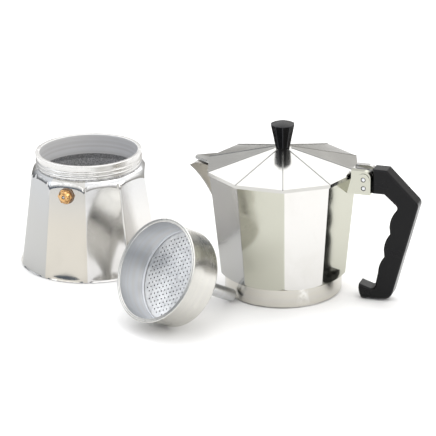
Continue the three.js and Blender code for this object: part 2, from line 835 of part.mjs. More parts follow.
// A beak on the lid's corner that covers the spout's channel.
function lidBeak() {
  const root = -lidCorner + 2 * lidBandWidth;
  const tip = -lidCorner - beakReach;
  const corners = [lidBottom + beakRise, lidEdgeTop].flatMap((z) => [
    new THREE.Vector3(root, -beakHalfWidth, z),
    new THREE.Vector3(root, beakHalfWidth, z),
    new THREE.Vector3(tip, -beakTipHalf, z),
    new THREE.Vector3(tip, beakTipHalf, z),
  ]);
  return toSolid(new ConvexGeometry(corners));
}

function lid() {
  const reach = 2 * cheekOuter;
  const notches = [-1, 1].map((side) => {
    const [low, high] = side < 0 ? [-1.5 * cheekOuter, -tongueHalf] : [tongueHalf, 1.5 * cheekOuter];
    return box(lidCut, lidCorner + reach, low, high, 0, cheekTop + reach);
  });
  const tongueTop = hingePinHeight + hingeEye;
  const tongue = outline([
    [lidCut - 2, lidBottom],
    [pinReach, lidBottom],
    [pinReach, tongueTop],
    [lidCut + 2, tongueTop],
    [lidCut - 2, lidSurface(lidCut - 2) - gap],
  ]);
  const eye = crossRod(hingeEye, pinReach, hingePinHeight, tongueHalf);
  return cut(
    join(cut(lidShell(), ...notches), lidBeak(), plate(tongue, -tongueHalf, tongueHalf), eye),
    crossRod(pinHole, pinReach, hingePinHeight, cheekOuter),
    rod(screwRadius + gap, lidBottom, lidSeatHeight + overcut),
  );
}

const knobLow = lidSeatHeight + gap;
const insertBore = screwRadius + gap;
const insertRadius = insertBore + insertWall;
const washerHigh = lidSeatHeight - lidSkin - gap;
const washerLow = washerHigh - screwWasherThick;
const headHigh = washerLow - gap;

function knob() {
  const body = faceted([
    [0, knobLow],
    [knobFoot, knobLow],
    [knobTop, knobLow + knobHeight],
    [0, knobLow + knobHeight + knobPeak],
  ], halfStep);
  return cut(body, rod(insertRadius + gap, knobLow - overcut, knobLow + insertLength + 2 * gap));
}

function knobScrew() {
  const head = turned([
    [0, headHigh - screwHeadThick],
    [screwHead * 0.6, headHigh - screwHeadThick],
    [screwHead, headHigh - screwHeadThick * 0.3],
    [screwHead, headHigh],
    [0, headHigh],
  ], smallSteps);
  return join(head, rod(screwRadius, headHigh - screwHeadThick / 2, headHigh + screwLength));
}

const insert = ring(insertBore, insertRadius, knobLow, knobLow + insertLength, smallSteps);
const knobWasher = ring(insertBore, screwWasherRadius, washerLow, washerHigh, smallSteps);
piece("lid", lid(), polished(), pot);
piece("lid_knob", knob(), blackPlastic(), pot);
piece("knob_insert", insert, brass(), pot);
piece("knob_washer", knobWasher, steel(), pot);
piece("knob_screw", knobScrew(), steel(), pot);

export default object;
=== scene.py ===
# %% [markdown]
# # A ten-sided moka pot, taken apart
# The boiler stands at the origin, the pot stands beside it on its threaded collar, and the funnel
# lies in front of them. The lesson goes piece by piece: open the fixed frame, set the camera and the
# lights, make the finishes, then give each CAD node either a finer shape or a better surface.
# Lengths are written in millimetres and turned into metres where a mesh is made.

import math

import bmesh
import bpy
from mathutils import Matrix, Vector


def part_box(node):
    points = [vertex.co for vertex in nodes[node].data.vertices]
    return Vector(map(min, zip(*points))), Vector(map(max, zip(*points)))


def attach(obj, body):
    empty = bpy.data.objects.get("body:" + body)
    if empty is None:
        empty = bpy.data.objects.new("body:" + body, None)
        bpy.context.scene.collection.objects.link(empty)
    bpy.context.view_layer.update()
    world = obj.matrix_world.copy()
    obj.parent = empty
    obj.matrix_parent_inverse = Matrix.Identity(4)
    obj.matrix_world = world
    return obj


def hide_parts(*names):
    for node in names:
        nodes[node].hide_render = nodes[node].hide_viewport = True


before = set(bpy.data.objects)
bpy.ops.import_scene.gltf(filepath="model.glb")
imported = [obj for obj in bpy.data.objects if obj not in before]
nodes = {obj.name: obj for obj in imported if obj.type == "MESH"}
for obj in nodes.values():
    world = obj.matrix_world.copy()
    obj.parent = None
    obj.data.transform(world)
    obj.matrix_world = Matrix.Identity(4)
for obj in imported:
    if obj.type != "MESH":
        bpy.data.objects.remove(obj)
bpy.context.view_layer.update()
MM = 0.001
SIDES = 10
HALF_STEP = math.pi / SIDES
POT_AXIS = Vector((145.5, -59.8, 0))
POT_PLACE = POT_AXIS * MM

# %% [markdown]
# ## The camera
# The pot is seen from far off through a long lens, a little from above, with almost no tilt.
# A camera looks down its own -Z, so the three axes are built from pitch, yaw and roll and put in a
# matrix. Working them out by hand, rather than with a Track To constraint, keeps the small roll.


# %% Place the camera
def aimed_camera(place, pitch, yaw, roll, lens):
    p, w, r = (math.radians(v) for v in (pitch, yaw, roll))
    forward = Vector((math.sin(w) * math.cos(p), math.cos(w) * math.cos(p), -math.sin(p)))
    level = Vector((math.cos(w), -math.sin(w), 0))
    upright = level.cross(forward)
    across = math.cos(r) * level + math.sin(r) * upright
    up = math.cos(r) * upright - math.sin(r) * level
    turn = Matrix((across, up, -forward)).transposed().to_4x4()
    camera = bpy.data.objects.new("camera", bpy.data.cameras.new("camera"))
    camera.data.lens = lens
    camera.matrix_world = Matrix.Translation(place) @ turn
    bpy.context.scene.collection.objects.link(camera)
    return camera


CAMERA_PLACE = (0.1474, -1.4165, 0.5622)
CAMERA_PITCH = 20.557
CAMERA_YAW = -2.07
CAMERA_ROLL = -0.95
LONG_LENS = 165.1
bpy.context.scene.camera = aimed_camera(CAMERA_PLACE, CAMERA_PITCH, CAMERA_YAW, CAMERA_ROLL, LONG_LENS)
print("camera", bpy.context.scene.camera.location[:])

# %% [markdown]
# ## A small kit for node trees
# Every finish below is a net of shader nodes. `put` adds one node, sets its sockets and links
# whatever is itself a socket, so that a finish reads as a list of steps from top to bottom.


# %% Helpers for nodes
def put(tree, kind, settings=None, **sockets):
    node = tree.nodes.new("ShaderNode" + kind)
    for name, value in (settings or {}).items():
        setattr(node, name, value)
    for name, value in sockets.items():
        key = int(name[1:]) if name[1:].isdigit() else name.replace("_", " ")
        socket = node.inputs[key]
        if isinstance(value, bpy.types.NodeSocket):
            tree.links.new(value, socket)
        else:
            socket.default_value = value
    return node


def math_node(tree, operation, *values):
    wanted = {f"i{n}": value for n, value in enumerate(values)}
    return put(tree, "Math", {"operation": operation}, **wanted).outputs[0]


def times(tree, value, factor):
    return math_node(tree, "MULTIPLY", value, factor)


def plus(tree, value, more):
    return math_node(tree, "ADD", value, more)


def ramp(tree, value, low, high):
    """0 below low, 1 above high, and a soft curve between."""
    style = {"interpolation_type": "SMOOTHSTEP"}
    return put(tree, "MapRange", style, Value=value, From_Min=low, From_Max=high).outputs["Result"]


def spread(tree, mask, low, high):
    """A value that runs straight from low to high as the mask runs from 0 to 1."""
    return put(tree, "MapRange", Value=mask, To_Min=low, To_Max=high).outputs["Result"]


def blend_colour(tree, factor, first, second):
    node = put(tree, "Mix", {"data_type": "RGBA"}, Factor=factor)
    for socket, value in ((node.inputs[6], first), (node.inputs[7], second)):
        if isinstance(value, bpy.types.NodeSocket):
            tree.links.new(value, socket)
        else:
            socket.default_value = (*value, 1)
    return node.outputs[2]


def start_group(name, inputs, outputs):
    tree = bpy.data.node_groups.new(name, "ShaderNodeTree")
    for title, kind, value in inputs:
        socket = tree.interface.new_socket(title, in_out="INPUT", socket_type="NodeSocket" + kind)
        if value is not None:
            socket.default_value = value
    for title, kind in outputs:
        tree.interface.new_socket(title, in_out="OUTPUT", socket_type="NodeSocket" + kind)
    return tree, tree.nodes.new("NodeGroupInput").outputs, tree.nodes.new("NodeGroupOutput").inputs


def use_group(tree, group, **sockets):
    return put(tree, "Group", {"node_tree": group}, **sockets).outputs


print("node kit ready")

# %% [markdown]
# ## Shared effects
# Five effects come back on several finishes, so each is a node group that is built once:
# a spun grain of fine rings left by a lathe, hairline scratches from use, a blasted grain for cast
# surfaces, edges rubbed bright, and smudges left by hands and water. The rubbed edges read the
# pointiness of a mesh, which is stored at its corners, so they suit the finely divided spun pieces.


# %% Spun grain and hairlines
def spun_grain_group():
    tree, given, out = start_group(
        "spun grain",
        [("Position", "Vector", None), ("Rings per mm", "Float", 2.0)],
        [("Height", "Float"), ("Bands", "Float")],
    )
    parts = put(tree, "SeparateXYZ", Vector=given["Position"]).outputs
    squares = plus(tree, times(tree, parts[0], parts[0]), times(tree, parts[1], parts[1]))
    across = math_node(tree, "SQRT", squares)
    along = times(tree, plus(tree, across, parts[2]), 1 / MM)
    rings = times(tree, along, given["Rings per mm"])
    fine = put(tree, "TexNoise", {"noise_dimensions": "1D"}, W=rings, Scale=1.0, Detail=3.0, Roughness=0.7)
    wide = put(tree, "TexNoise", {"noise_dimensions": "1D"}, W=rings, Scale=0.16, Detail=2.0)
    tree.links.new(fine.outputs[0], out["Height"])
    tree.links.new(ramp(tree, wide.outputs[0], 0.35, 0.65), out["Bands"])
    return tree


def hairline_group():
    tree, given, out = start_group(
        "hairlines",
        [
            ("Position", "Vector", None),
            ("Stretch", "Vector", (1400, 1400, 60)),
            ("Amount", "Float", 0.5),
        ],
        [("Height", "Float"), ("Mask", "Float")],
    )
    along = put(tree, "VectorMath", {"operation": "MULTIPLY"}, i0=given["Position"], i1=given["Stretch"])
    lines = put(tree, "TexNoise", Vector=along.outputs[0], Scale=1.0, Detail=4.0, Roughness=0.65)
    patches = put(tree, "TexNoise", Vector=given["Position"], Scale=45.0, Detail=3.0)
    where = ramp(tree, patches.outputs[0], 0.4, 0.68)
    thin = ramp(tree, lines.outputs[0], 0.55, 0.72)
    mask = times(tree, times(tree, thin, where), given["Amount"])
    tree.links.new(lines.outputs[0], out["Height"])
    tree.links.new(mask, out["Mask"])
    return tree


spun_grain = spun_grain_group()
hairlines = hairline_group()
print("effects", spun_grain.name, hairlines.name)


# %% [markdown]
# Cast metal is blasted with grit, which noise and small round pits imitate. Dust and smudges are two
# sizes of noise, and the rubbed edges are broken up by a third, so that no edge shines evenly.


# %% Blasted grain, rubbed edges and smudges
def blasted_group():
    tree, given, out = start_group(
        "blasted grain",
        [("Position", "Vector", None), ("Grains per m", "Float", 1400.0)],
        [("Height", "Float"), ("Pits", "Float")],
    )
    fine = put(
        tree, "TexNoise", Vector=given["Position"], Scale=given["Grains per m"], Detail=3.0, Roughness=0.7
    )
    cells = put(tree, "TexVoronoi", Vector=given["Position"], Scale=given["Grains per m"])
    pits = ramp(tree, cells.outputs["Distance"], 0.1, 0.62)
    height = plus(tree, times(tree, fine.outputs[0], 0.6), pits)
    tree.links.new(height, out["Height"])
    tree.links.new(ramp(tree, fine.outputs[0], 0.38, 0.64), out["Pits"])
    return tree


def rubbed_edge_group():
    tree, given, out = start_group(
        "rubbed edges",
        [("Position", "Vector", None), ("Start", "Float", 0.52), ("End", "Float", 0.6)],
        [("Mask", "Float")],
    )
    sharp = put(tree, "NewGeometry").outputs["Pointiness"]
    edge = put(tree, "MapRange", Value=sharp, From_Min=given["Start"], From_Max=given["End"]).outputs[0]
    broken = put(tree, "TexNoise", Vector=given["Position"], Scale=260.0, Detail=4.0)
    mask = times(tree, edge, ramp(tree, broken.outputs[0], 0.3, 0.6))
    tree.links.new(mask, out["Mask"])
    return tree


def smudge_group():
    tree, given, out = start_group(
        "smudges",
        [("Position", "Vector", None), ("Size", "Float", 22.0)],
        [("Mask", "Float"), ("Dust", "Float")],
    )
    wide = put(
        tree, "TexNoise", Vector=given["Position"], Scale=given["Size"], Detail=5.0, Roughness=0.6,
        Distortion=0.8,
    )
    dots = put(tree, "TexNoise", Vector=given["Position"], Scale=2600.0, Detail=1.0)
    tree.links.new(ramp(tree, wide.outputs[0], 0.42, 0.7), out["Mask"])
    tree.links.new(ramp(tree, dots.outputs[0], 0.68, 0.78), out["Dust"])
    return tree


blasted = blasted_group()
rubbed_edges = rubbed_edge_group()
smudges = smudge_group()
print("effects", blasted.name, rubbed_edges.name, smudges.name)


# %% [markdown]
# ## Starting a finish
# Every finish begins with the same shader and reads Object coordinates, which stay put when a piece
# moves. Fine relief goes through one Bump node, with its depth given in metres.


# %% Start a finish
def start_finish(name, metallic=0.0):
    material = bpy.data.materials.new(name)
    material.use_nodes = True
    tree = material.node_tree
    surface = tree.nodes["Principled BSDF"].inputs
    surface["Metallic"].default_value = metallic
    return material, tree, surface, put(tree, "TexCoord").outputs["Object"]


def relief(tree, surface, height, depth):
    bump = put(tree, "Bump", Height=height, Distance=depth, Strength=1.0)
    tree.links.new(bump.outputs[0], surface["Normal"])


print("finish kit ready")

# %% [markdown]
# ## Facet tones, painted reflections
# Each facet gets a painted reflection tone, a little duller, warmer or cooler than the next, standing
# for the light and surroundings it mirrors.
# The compass angle of a point about the pot's axis picks one of ten tones from a stepped ramp.


# %% Facet tones
def centred(tree, position, origin=(0, 0, 0), turn=(0, 0, 0)):
    """Object coordinates moved and turned into the frame of a piece that stands elsewhere."""
    place = put(
        tree, "Mapping", {"vector_type": "TEXTURE"}, Vector=position, Location=origin, Rotation=turn
    )
    return place.outputs[0]


def facet_reflection_tone(tree, position, tones, origin):
    """One of ten painted reflection tones by compass angle. The first belongs to the facet just past the half
    step.
    """
    local = centred(tree, position, origin, (0, 0, HALF_STEP))
    parts = put(tree, "SeparateXYZ", Vector=local).outputs
    angle = math_node(tree, "ARCTAN2", parts[1], parts[0])
    share = math_node(tree, "FRACT", plus(tree, math_node(tree, "DIVIDE", angle, 2 * math.pi), 1.0))
    ramp_node = put(tree, "ValToRGB", Fac=share)
    steps = ramp_node.color_ramp
    steps.interpolation = "CONSTANT"
    while len(steps.elements) < len(tones):
        steps.elements.new(0.5)
    for n, (step, tone) in enumerate(zip(steps.elements, tones)):
        step.position = n / len(tones)
        step.color = (*tone, 1)
    return ramp_node.outputs["Color"]


print("facet tones ready")

# %% [markdown]
# ## Polished aluminium
# The boiler, the pot and the lid are cast, then polished on a wheel. The sheen is soft rather than
# mirror-like: a low roughness broken up by smudges and by hairlines along the facets. Corners are
# rubbed brighter. The finely divided boiler shows that with the group, and the pot's bevels get a
# brighter finish of their own. The lid's ribs are rougher than the faces between them, and their
# darker colour is painted shade. The facets' tones and the boiler's cool upper wall are painted
# reflections.


# %% Polished aluminium
PLAIN_TONE = (0.6, 0.58, 0.53)
# The tone of a painted reflection of the cool sky.
PAINTED_SKY_TONE = (0.46, 0.49, 0.54)
SCRATCH_TONE = (0.45, 0.44, 0.41)
SMUDGE_TONE = (0.45, 0.43, 0.37)
RUBBED_TONE = (0.85, 0.84, 0.82)


def polished_aluminium(name, tones=None, origin=(0, 0, 0), rough=(0.1, 0.15), cool_above=None,
                       plain=PLAIN_TONE):
    """`tones` are the ten facets' painted reflection tones. `cool_above` is where a divided wall starts to
    take a painted reflection of a cool sky.
    """
    material, tree, surface, position = start_finish(name, metallic=1.0)
    lines = use_group(tree, hairlines, Position=position, Amount=0.6)
    touch = use_group(tree, smudges, Position=position, Size=26.0)
    # Painted reflection: each facet takes its own tone for the light it mirrors.
    tone = facet_reflection_tone(tree, position, tones, origin) if tones else plain
    if cool_above is not None:
        # Painted reflection: above these heights the wall is tinted towards a cool sky tone.
        height = put(tree, "SeparateXYZ", Vector=position).outputs[2]
        cool = ramp(tree, height, *cool_above)
        tone = blend_colour(tree, times(tree, cool, 0.35), tone, PAINTED_SKY_TONE)
    worn = blend_colour(tree, times(tree, lines["Mask"], 0.4), tone, SCRATCH_TONE)
    colour = blend_colour(tree, times(tree, touch["Mask"], 0.12), worn, SMUDGE_TONE)
    if cool_above is not None:
        edge = use_group(tree, rubbed_edges, Position=position)
        colour = blend_colour(tree, edge["Mask"], colour, RUBBED_TONE)
    tree.links.new(colour, surface["Base Color"])
    marked = plus(tree, spread(tree, touch["Mask"], *rough), times(tree, lines["Mask"], 0.08))
    tree.links.new(marked, surface["Roughness"])
    relief(tree, surface, lines["Height"], 0.000003)
    return material


# Painted reflection tones, one for each facet.
WARM, PALE, BRIGHT = (0.56, 0.53, 0.47), (0.66, 0.65, 0.64), (0.7, 0.69, 0.67)
DIM, GREEN = (0.44, 0.44, 0.43), (0.5, 0.5, 0.43)
BOILER_FACET_REFLECTIONS = [PALE, WARM, BRIGHT, GREEN, WARM, DIM, WARM, PALE, BRIGHT, PALE]
POT_FACET_REFLECTIONS = [PALE, WARM, BRIGHT, PALE, WARM, DIM, GREEN, BRIGHT, GREEN, PALE]
boiler_polish = polished_aluminium("boiler polish", BOILER_FACET_REFLECTIONS, cool_above=(0.035, 0.075))
pot_polish = polished_aluminium("pot polish", POT_FACET_REFLECTIONS, POT_PLACE)
lid_polish = polished_aluminium("lid polish", rough=(0.12, 0.2), plain=(0.53, 0.525, 0.505))
rubbed_corner = polished_aluminium("rubbed corner", rough=(0.18, 0.28), plain=(0.8, 0.79, 0.77))
# The rib's dark colour is painted shade; its higher roughness is real.
rib_painted_shade = polished_aluminium("rib painted shade", rough=(0.2, 0.3), plain=(0.3, 0.3, 0.29))
print("finishes", [m.name for m in (boiler_polish, pot_polish, lid_polish, rubbed_corner, rib_painted_shade)])

# %% [markdown]
# ## Turned, blasted and sheet aluminium
# The neck, the collar and the thread are turned on a lathe, which leaves fine rings. The inside of
# the boiler is left as cast: darker, matt and speckled. The funnel is thin spun sheet with a satin
# face. Each finish sets the ring group about the axis of its own piece with a Mapping node.


# %% Turned and blasted aluminium
BRIGHT_EDGE = (0.96, 0.955, 0.94)
DULL_RING = (0.6, 0.59, 0.57)
STAIN = (0.42, 0.41, 0.4)


def turned_aluminium(name, origin=(0, 0, 0), turn=(0, 0, 0), tint=(0.68, 0.675, 0.66), rough=0.24,
                     depth=0.00002, metallic=1.0):
    material, tree, surface, position = start_finish(name, metallic)
    grain = use_group(tree, spun_grain, Position=centred(tree, position, origin, turn))
    touch = use_group(tree, smudges, Position=position, Size=34.0)
    edge = use_group(tree, rubbed_edges, Position=position)
    dull = blend_colour(tree, times(tree, grain["Bands"], 0.4), tint, DULL_RING)
    tree.links.new(blend_colour(tree, edge["Mask"], dull, BRIGHT_EDGE), surface["Base Color"])
    ringed = plus(tree, times(tree, grain["Height"], 0.14), rough - 0.05)
    tree.links.new(plus(tree, ringed, times(tree, touch["Mask"], 0.08)), surface["Roughness"])
    relief(tree, surface, grain["Height"], depth)
    return material


def cast_inside(name, tint, dark):
    material, tree, surface, position = start_finish(name, metallic=0.3)
    grain = use_group(tree, blasted, Position=position, Grains_per_m=1100.0)
    stain = use_group(tree, smudges, Position=position, Size=38.0)
    speckled = blend_colour(tree, grain["Pits"], dark, tint)
    stained = blend_colour(tree, times(tree, stain["Mask"], 0.5), speckled, STAIN)
    tree.links.new(stained, surface["Base Color"])
    tree.links.new(plus(tree, times(tree, grain["Pits"], 0.15), 0.45), surface["Roughness"])
    relief(tree, surface, grain["Height"], 0.00014)
    return material


turned_neck = turned_aluminium("turned neck")
turned_collar = turned_aluminium("turned collar", POT_PLACE, tint=(0.62, 0.6, 0.545), rough=0.17)
cast_floor = cast_inside("cast inside", (0.72, 0.72, 0.73), (0.26, 0.26, 0.27))
# A dull film on the bore of the neck scatters most of the light, so it is less metallic.
neck_bore = turned_aluminium("turned bore", tint=(0.8, 0.8, 0.81), rough=0.42, depth=0.00006, metallic=0.35)
print("finishes", [m.name for m in (turned_neck, turned_collar, cast_floor, neck_bore)])

# %% [markdown]
# ## Black moulded plastic
# The handle and the knob are heat-resistant plastic: nearly black, satin, with a faint moulded
# ripple, a little dust, and corners that have gone greyer from hands.


# %% Black plastic
DUST = (0.12, 0.12, 0.12)


def black_plastic(name, tint):
    material, tree, surface, position = start_finish(name)
    surface["Specular IOR Level"].default_value = 0.2
    touch = use_group(tree, smudges, Position=position, Size=40.0)
    ripple = put(tree, "TexNoise", Vector=position, Scale=900.0, Detail=2.0)
    tree.links.new(blend_colour(tree, times(tree, touch["Dust"], 0.08), tint, DUST), surface["Base Color"])
    tree.links.new(spread(tree, touch["Mask"], 0.2, 0.3), surface["Roughness"])
    relief(tree, surface, ripple.outputs[0], 0.000004)
    return material


plastic = black_plastic("black plastic", (0.003, 0.003, 0.0035))
plastic_corner = black_plastic("handled plastic corner", (0.03, 0.03, 0.033))
print("finishes", plastic.name, plastic_corner.name)

# %% [markdown]
# ## Brass, steel, silicone and fibre
# The valve is machined brass, a little browned in patches. Pins, spring and screw are bright
# steel. The gasket is pale silicone and the valve's washer is brown fibre.


# %% Small parts' finishes
def small_metal(name, tint, shade, rough):
    material, tree, surface, position = start_finish(name, metallic=1.0)
    lines = use_group(tree, hairlines, Position=position, Stretch=(3000, 3000, 500), Amount=0.8)
    touch = use_group(tree, smudges, Position=position, Size=180.0)
    edge = use_group(tree, rubbed_edges, Position=position)
    tarnish = blend_colour(tree, touch["Mask"], tint, shade)
    marked = blend_colour(tree, lines["Mask"], tarnish, shade)
    bright = blend_colour(tree, edge["Mask"], marked, tuple(min(1, 1.12 * v) for v in tint))
    tree.links.new(bright, surface["Base Color"])
    tree.links.new(spread(tree, touch["Mask"], rough, rough + 0.14), surface["Roughness"])
    relief(tree, surface, lines["Height"], 0.00001)
    return material


def soft_part(name, tint, shade, grains, rough, depth):
    material, tree, surface, position = start_finish(name)
    grain = use_group(tree, blasted, Position=position, Grains_per_m=grains)
    touch = use_group(tree, smudges, Position=position, Size=60.0)
    mottled = blend_colour(tree, grain["Pits"], shade, tint)
    shaded = blend_colour(tree, times(tree, touch["Mask"], 0.4), mottled, shade)
    tree.links.new(shaded, surface["Base Color"])
    tree.links.new(plus(tree, times(tree, grain["Pits"], 0.1), rough), surface["Roughness"])
    relief(tree, surface, grain["Height"], depth)
    return material


brass = small_metal("valve brass", (0.78, 0.47, 0.2), (0.4, 0.22, 0.09), 0.16)
steel = small_metal("bright steel", (0.68, 0.69, 0.71), (0.45, 0.45, 0.46), 0.22)
silicone = soft_part("gasket silicone", (0.8, 0.78, 0.72), (0.7, 0.67, 0.6), 700.0, 0.55, 0.00003)
fibre = soft_part("washer fibre", (0.42, 0.3, 0.2), (0.2, 0.14, 0.1), 2600.0, 0.75, 0.00008)
print("finishes", [m.name for m in (brass, steel, silicone, fibre)])

# %% [markdown]
# ## The studio
# The set is a white floor with soft light from above and from the right, a cooler and weaker side on
# the left, and a sky that dims towards the lens. Polished metal shows its surroundings, so these
# soft gradients, together with the painted facet tones, give each facet its own tone. The plain
# "Standard" view keeps white white.


# %% Floor and sky
FLOOR_HALF = 6.0
FLOOR_DROP = 0.0004


def studio_floor():
    bm = bmesh.new()
    bmesh.ops.create_grid(bm, x_segments=2, y_segments=2, size=FLOOR_HALF)
    bmesh.ops.translate(bm, verts=bm.verts, vec=(0, 0, -FLOOR_DROP))
    mesh = bpy.data.meshes.new("floor")
    bm.to_mesh(mesh)
    bm.free()
    floor = bpy.data.objects.new("floor", mesh)
    bpy.context.scene.collection.objects.link(floor)
    material, tree, surface, position = start_finish("white floor")
    cloud = put(tree, "TexNoise", Vector=position, Scale=3.0, Detail=2.0).outputs[0]
    white = blend_colour(tree, cloud, (0.93, 0.925, 0.915), (0.95, 0.945, 0.94))
    tree.links.new(white, surface["Base Color"])
    surface["Roughness"].default_value = 0.6
    surface["Specular IOR Level"].default_value = 0.15
    mesh.materials.append(material)


def studio_sky():
    """A sky that is white above and on the right, cooler and darker low on the left and by the lens."""
    world = bpy.data.worlds.new("studio")
    world.use_nodes = True
    tree = world.node_tree
    direction = put(tree, "TexCoord").outputs["Generated"]
    parts = put(tree, "SeparateXYZ", Vector=direction).outputs
    toward_cool = put(tree, "VectorMath", {"operation": "DOT_PRODUCT"}, i0=direction, i1=(-0.7, -0.71, 0.0))
    cool = ramp(tree, toward_cool.outputs["Value"], 0.35, 0.95)
    height = ramp(tree, parts[2], 0.08, 0.7)
    side = ramp(tree, parts[0], -0.9, 0.35)
    low = blend_colour(tree, side, (0.34, 0.35, 0.36), (0.72, 0.7, 0.66))
    low_cool = blend_colour(tree, cool, low, (0.2, 0.25, 0.33))
    high = blend_colour(tree, side, (1.95, 1.98, 2.05), (2.2, 2.2, 2.2))
    sky = blend_colour(tree, height, low_cool, high)
    tree.links.new(sky, tree.nodes["Background"].inputs["Color"])
    tree.nodes["Background"].inputs["Strength"].default_value = 0.7
    bpy.context.scene.world = world


studio_floor()
studio_sky()
bpy.context.scene.view_settings.view_transform = "Standard"
print("floor and sky ready")


# %% [markdown]
# Four wide lamps fill in what the sky leaves dark. They are large and weak, because a polished
# surface would mirror a small strong one as a hard spot.


# %% Soft lamps
SUBJECT = Vector((0.07, -0.06, 0.05))


def soft_lamp(name, place, size, power, colour):
    """A rectangular lamp that faces the subject."""
    data = bpy.data.lights.new(name, "AREA")
    data.shape = "RECTANGLE"
    data.size, data.size_y = size
    data.energy = power
    data.color = colour
    lamp = bpy.data.objects.new(name, data)
    away = Vector(place) - SUBJECT
    lamp.matrix_world = Matrix.Translation(place) @ away.to_track_quat("Z", "Y").to_matrix().to_4x4()
    bpy.context.scene.collection.objects.link(lamp)


soft_lamp("lamp above", (0.3, 0.2, 1.7), size=(0.8, 0.8), power=3.0, colour=(1.0, 0.99, 0.97))
soft_lamp("lamp right", (1.5, -0.5, 0.7), size=(1.0, 1.4), power=5.0, colour=(1.0, 0.98, 0.95))
soft_lamp("lamp left", (-1.4, -0.3, 1.1), size=(0.7, 0.9), power=2.0, colour=(0.9, 0.95, 1.0))
soft_lamp("lamp behind", (0.1, 1.7, 1.6), size=(2.6, 1.6), power=9.0, colour=(1.0, 1.0, 1.0))

# %% [markdown]
# ## Helpers for shapes
# Most pieces are either turned or cast. A turned piece is a profile of a few points, spun about its
# axis with `bmesh.ops.spin`. A cast piece starts from its CAD node: a copy is merged, its flat
# triangles are dissolved into clean faces, and a Bevel modifier rounds the edges that catch light.


# %% Helpers for shapes
def show(bm, name, body, stands_for, finishes, smooth_under=32, place=None):
    bmesh.ops.remove_doubles(bm, verts=bm.verts, dist=1e-7)
    bmesh.ops.recalc_face_normals(bm, faces=bm.faces)
    if place is not None:
        bmesh.ops.transform(bm, matrix=place, verts=bm.verts)
    mesh = bpy.data.meshes.new(name)
    bm.to_mesh(mesh)
    bm.free()
    for finish in finishes:
        mesh.materials.append(finish)
    piece = bpy.data.objects.new(name, mesh)
    bpy.context.scene.collection.objects.link(piece)
    mesh.shade_smooth()
    mesh.set_sharp_from_angle(angle=math.radians(smooth_under))
    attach(piece, body)
    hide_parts(stands_for)
    print(name, "-", len(mesh.polygons), "faces")
    return piece


def add_profile(bm, points, closed=False):
    """A line of points in the XZ plane, in millimetres, ready to be spun about Z."""
    line = [bm.verts.new((x * MM, 0, z * MM)) for x, z in points]
    edges = [bm.edges.new(pair) for pair in zip(line, line[1:])]
    if closed:
        edges.append(bm.edges.new((line[-1], line[0])))
    return line + edges


def spun(points, steps, closed=False):
    bm = bmesh.new()
    line = add_profile(bm, points, closed)
    bmesh.ops.spin(
        bm, geom=line, cent=(0, 0, 0), axis=(0, 0, 1), angle=2 * math.pi, steps=steps, use_merge=True
    )
    return bm


def ring_profile(inner, outer, low, high):
    return [(inner, low), (outer, low), (outer, high), (inner, high)]


def levels(node):
    """The lowest and highest level of an upright CAD node, in millimetres."""
    return [corner.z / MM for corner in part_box(node)]


def rounded(points, radius, steps=3, closed=False):
    """The profile with each corner replaced by a short curve."""
    result = []
    count = len(points)
    for n, here in enumerate(points):
        if not closed and n in (0, count - 1):
            result.append(here)
            continue
        before, corner, after = (Vector(points[(n + k) % count]) for k in (-1, 0, 1))
        first, second = before - corner, after - corner
        reach = min(radius, 0.45 * first.length, 0.45 * second.length)
        start, end = corner + first.normalized() * reach, corner + second.normalized() * reach
        for step in range(steps + 1):
            t = step / steps
            point = (1 - t) ** 2 * start + 2 * t * (1 - t) * corner + t * t * end
            result.append((point.x, point.y))
    return result


def turned_ring(inner, outer, low, high, soft, steps):
    return spun(rounded(ring_profile(inner, outer, low, high), soft, closed=True), steps, True)


def refined(node, name, body, finishes, bevel, segments=2, angle=28, pick=None, detail=None,
            corner=None):
    """A finer copy of a cast CAD node.

    `pick` gives each clean face the number of its finish, by its middle in millimetres and its normal.
    `detail` may shape the clean faces, and the faces it returns get the last finish.
    `corner` is the finish of the bevelled edges.
    """
    bm = bmesh.new()
    bm.from_mesh(nodes[node].data)
    bmesh.ops.remove_doubles(bm, verts=bm.verts, dist=1e-6)
    bmesh.ops.dissolve_limit(
        bm, angle_limit=math.radians(0.6), use_dissolve_boundaries=False, verts=bm.verts,
        edges=bm.edges,
    )
    special = detail(bm) if detail is not None else []
    if pick is not None:
        for face in bm.faces:
            face.material_index = pick(face.calc_center_median() / MM, face.normal)
    for face in special:
        face.material_index = len(finishes) - 1
    piece = show(bm, name, body, node, finishes + ([corner] if corner else []))
    round_edges = piece.modifiers.new("rounded edges", "BEVEL")
    round_edges.width = bevel * MM
    round_edges.segments = segments
    round_edges.limit_method = "ANGLE"
    round_edges.angle_limit = math.radians(angle)
    round_edges.use_clamp_overlap = True
    round_edges.harden_normals = False
    round_edges.material = len(finishes) if corner else -1
    steady = piece.modifiers.new("steady normals", "WEIGHTED_NORMAL")
    steady.keep_sharp = False
    return piece


print("shape kit ready")

# %% [markdown]
# ## The boiler
# The boiler is one casting. Its section is a circle at the foot and grows ten flats towards the
# shoulder, where a turned dome cuts each flat off in an arch. So it is spun as a round pot first, and
# every row of points is then pressed to its true radius: flats on the wall, a thread on the neck.

# %% Sizes of the boiler
FOOT_RADIUS = 54.6
TOP_CORNER = 44.3
FACET_TOP = 70.3
SHOULDER_TOP = 75.3
SHOULDER_ROUND = 8
NECK_ROOT = 38.9
NECK_CREST = 40
NECK_BORE = 36.8
RIM_TOP = 85.7
THREAD_START = 77.6
THREAD_PITCH = 2.8
THREAD_TURNS = 2
FLAT_GROWTH = 0.25
FLAT_START = 0.02
EDGE_SHARPNESS = 420
EDGE_ANGLE = -math.pi / 2
FLAT_ANGLE = EDGE_ANGLE + HALF_STEP
STEEPEST_DOME = math.radians(58)
DOME_INSET = SHOULDER_ROUND * math.sin(math.radians(16))


